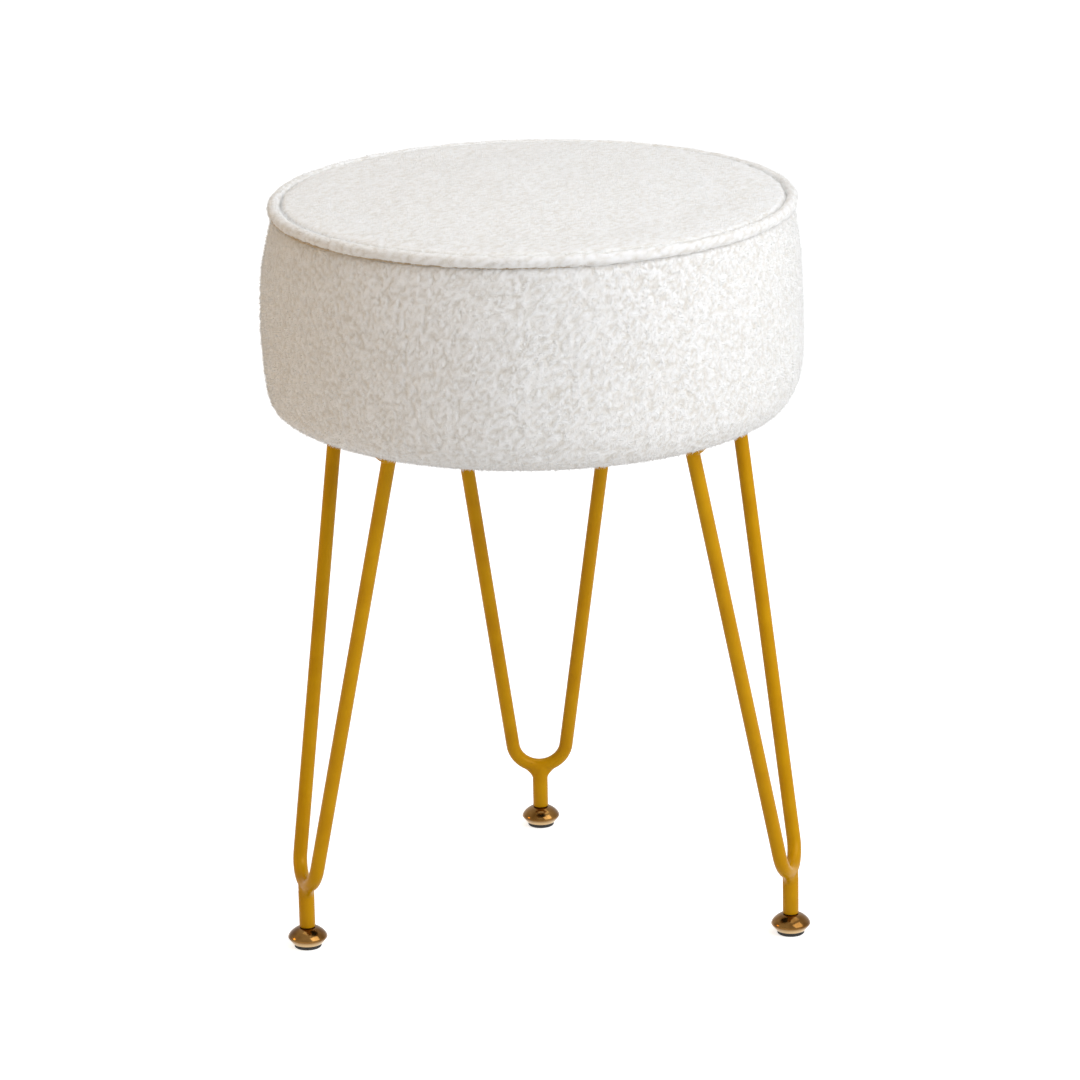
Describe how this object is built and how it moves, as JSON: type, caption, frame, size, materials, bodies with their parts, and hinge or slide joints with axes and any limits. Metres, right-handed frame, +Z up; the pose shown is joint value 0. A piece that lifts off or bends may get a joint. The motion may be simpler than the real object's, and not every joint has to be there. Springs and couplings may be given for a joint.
{
  "type": "footstool",
  "caption": "Round fleece-covered footstool with a welted drum cushion on bent-rod metal legs with screw-in levelling feet",
  "frame": {"origin": "On the floor under the middle of the seat", "axes": "+Z up, +Y towards the single rear leg, +X to the right seen from the front"},
  "size_m": [0.3, 0.3051, 0.4259],
  "materials": {
    "fleece": "curly pile",
    "foam": "open cell",
    "plywood": "sanded",
    "dust_fabric": "non-woven",
    "gold_paint": "semi-gloss",
    "zinc_steel": "zinc plated",
    "brass_cap": "polished",
    "rubber_pad": "matte"
  },
  "bodies": {
    "stool": {"seat_top_panel": "fleece", "seat_welt": "fleece", "seat_side_band": "fleece", "seat_foam": "foam", "base_board": "plywood", "dust_cover": "dust_fabric", "left_leg_rod": "gold_paint", "left_leg_stem": "gold_paint", "left_mounting_plate": "gold_paint", "left_plate_screw_1": "zinc_steel", "left_plate_screw_2": "zinc_steel", "left_plate_screw_3": "zinc_steel", "left_tee_nut_1": "zinc_steel", "left_tee_nut_2": "zinc_steel", "left_tee_nut_3": "zinc_steel", "right_leg_rod": "gold_paint", "right_leg_stem": "gold_paint", "right_mounting_plate": "gold_paint", "right_plate_screw_1": "zinc_steel", "right_plate_screw_2": "zinc_steel", "right_plate_screw_3": "zinc_steel", "right_tee_nut_1": "zinc_steel", "right_tee_nut_2": "zinc_steel", "right_tee_nut_3": "zinc_steel", "rear_leg_rod": "gold_paint", "rear_leg_stem": "gold_paint", "rear_mounting_plate": "gold_paint", "rear_plate_screw_1": "zinc_steel", "rear_plate_screw_2": "zinc_steel", "rear_plate_screw_3": "zinc_steel", "rear_tee_nut_1": "zinc_steel", "rear_tee_nut_2": "zinc_steel", "rear_tee_nut_3": "zinc_steel"},
    "left_pad": {"left_foot_pad": "rubber_pad"},
    "left_glide": {"left_foot_cap": "brass_cap", "left_foot_stud": "zinc_steel"},
    "right_pad": {"right_foot_pad": "rubber_pad"},
    "right_glide": {"right_foot_cap": "brass_cap", "right_foot_stud": "zinc_steel"},
    "rear_pad": {"rear_foot_pad": "rubber_pad"},
    "rear_glide": {"rear_foot_cap": "brass_cap", "rear_foot_stud": "zinc_steel"}
  },
  "joints": [
    {"name": "left_foot_travel", "type": "slide", "parent": "stool", "child": "left_pad", "axis": [0, 0, -1], "range_m": [0, 0.008]},
    {"name": "left_foot_turn", "type": "hinge", "parent": "left_pad", "child": "left_glide", "pos_m": [-0.13656, -0.04569, 0], "axis": [0, 0, -1], "range_deg": [0, 2880]},
    {"name": "right_foot_travel", "type": "slide", "parent": "stool", "child": "right_pad", "axis": [0, 0, -1], "range_m": [0, 0.008]},
    {"name": "right_foot_turn", "type": "hinge", "parent": "right_pad", "child": "right_glide", "pos_m": [0.13656, -0.04569, 0], "axis": [0, 0, -1], "range_deg": [0, 2880]},
    {"name": "rear_foot_travel", "type": "slide", "parent": "stool", "child": "rear_pad", "axis": [0, 0, -1], "range_m": [0, 0.008]},
    {"name": "rear_foot_turn", "type": "hinge", "parent": "rear_pad", "child": "rear_glide", "pos_m": [0, 0.144, 0], "axis": [0, 0, -1], "range_deg": [0, 2880]}
  ],
  "couplings": [
    {"joint": "left_foot_turn", "follows": "left_foot_travel", "rad_per_m": 6283.2},
    {"joint": "right_foot_turn", "follows": "right_foot_travel", "rad_per_m": 6283.2},
    {"joint": "rear_foot_turn", "follows": "rear_foot_travel", "rad_per_m": 6283.2}
  ]
}
